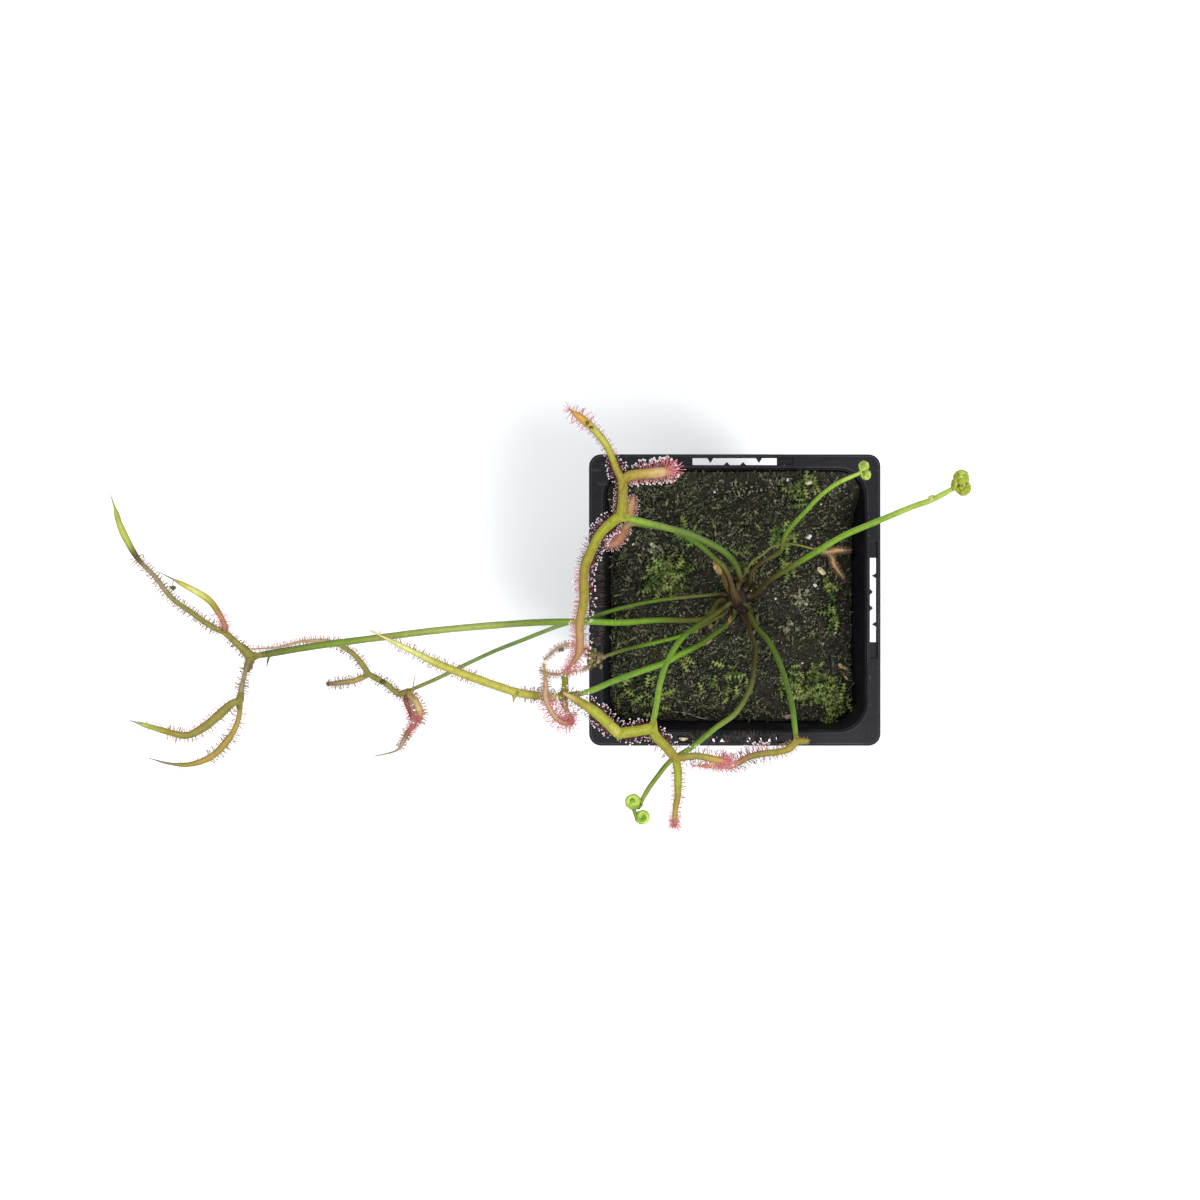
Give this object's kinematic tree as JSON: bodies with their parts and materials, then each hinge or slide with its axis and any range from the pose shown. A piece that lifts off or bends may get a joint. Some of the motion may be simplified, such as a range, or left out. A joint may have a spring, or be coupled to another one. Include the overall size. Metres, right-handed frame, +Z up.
{
  "type": "potted sundew",
  "caption": "Forked sundew with sticky tentacled leaf arms and coiled young leaves, growing in a square black nursery pot with label slots in its rim.",
  "frame": {"origin": "middle of the pot's flat underside, on the surface that the pot stands on", "axes": "+Z up out of the pot, +X to the right and +Y to the back as the plant is seen from its front, with the longest leaf towards -X"},
  "size_m": [0.2024, 0.1088, 0.2382],
  "materials": {
    "pot": "satin",
    "soil": "matte",
    "crown": "matte",
    "leaf_upper_left": "satin",
    "leaf_upper_left_low": "satin",
    "leaf_left": "satin",
    "leaf_far_left": "satin",
    "leaf_front": "satin",
    "leaf_long_arm": "satin",
    "leaf_wilting": "satin",
    "leaf_lower_right": "satin",
    "leaf_withered": "matte",
    "crozier_front": "satin",
    "crozier_small": "satin",
    "crozier_right": "satin"
  },
  "bodies": {
    "root": {"pot": "pot", "soil": "soil", "crown": "crown", "leaf_upper_left": "leaf_upper_left", "leaf_upper_left_low": "leaf_upper_left_low", "leaf_left": "leaf_left", "leaf_far_left": "leaf_far_left", "leaf_front": "leaf_front", "leaf_long_arm": "leaf_long_arm", "leaf_wilting": "leaf_wilting", "leaf_lower_right": "leaf_lower_right", "leaf_withered": "leaf_withered", "crozier_front": "crozier_front", "crozier_small": "crozier_small", "crozier_right": "crozier_right"}
  },
  "joints": []
}
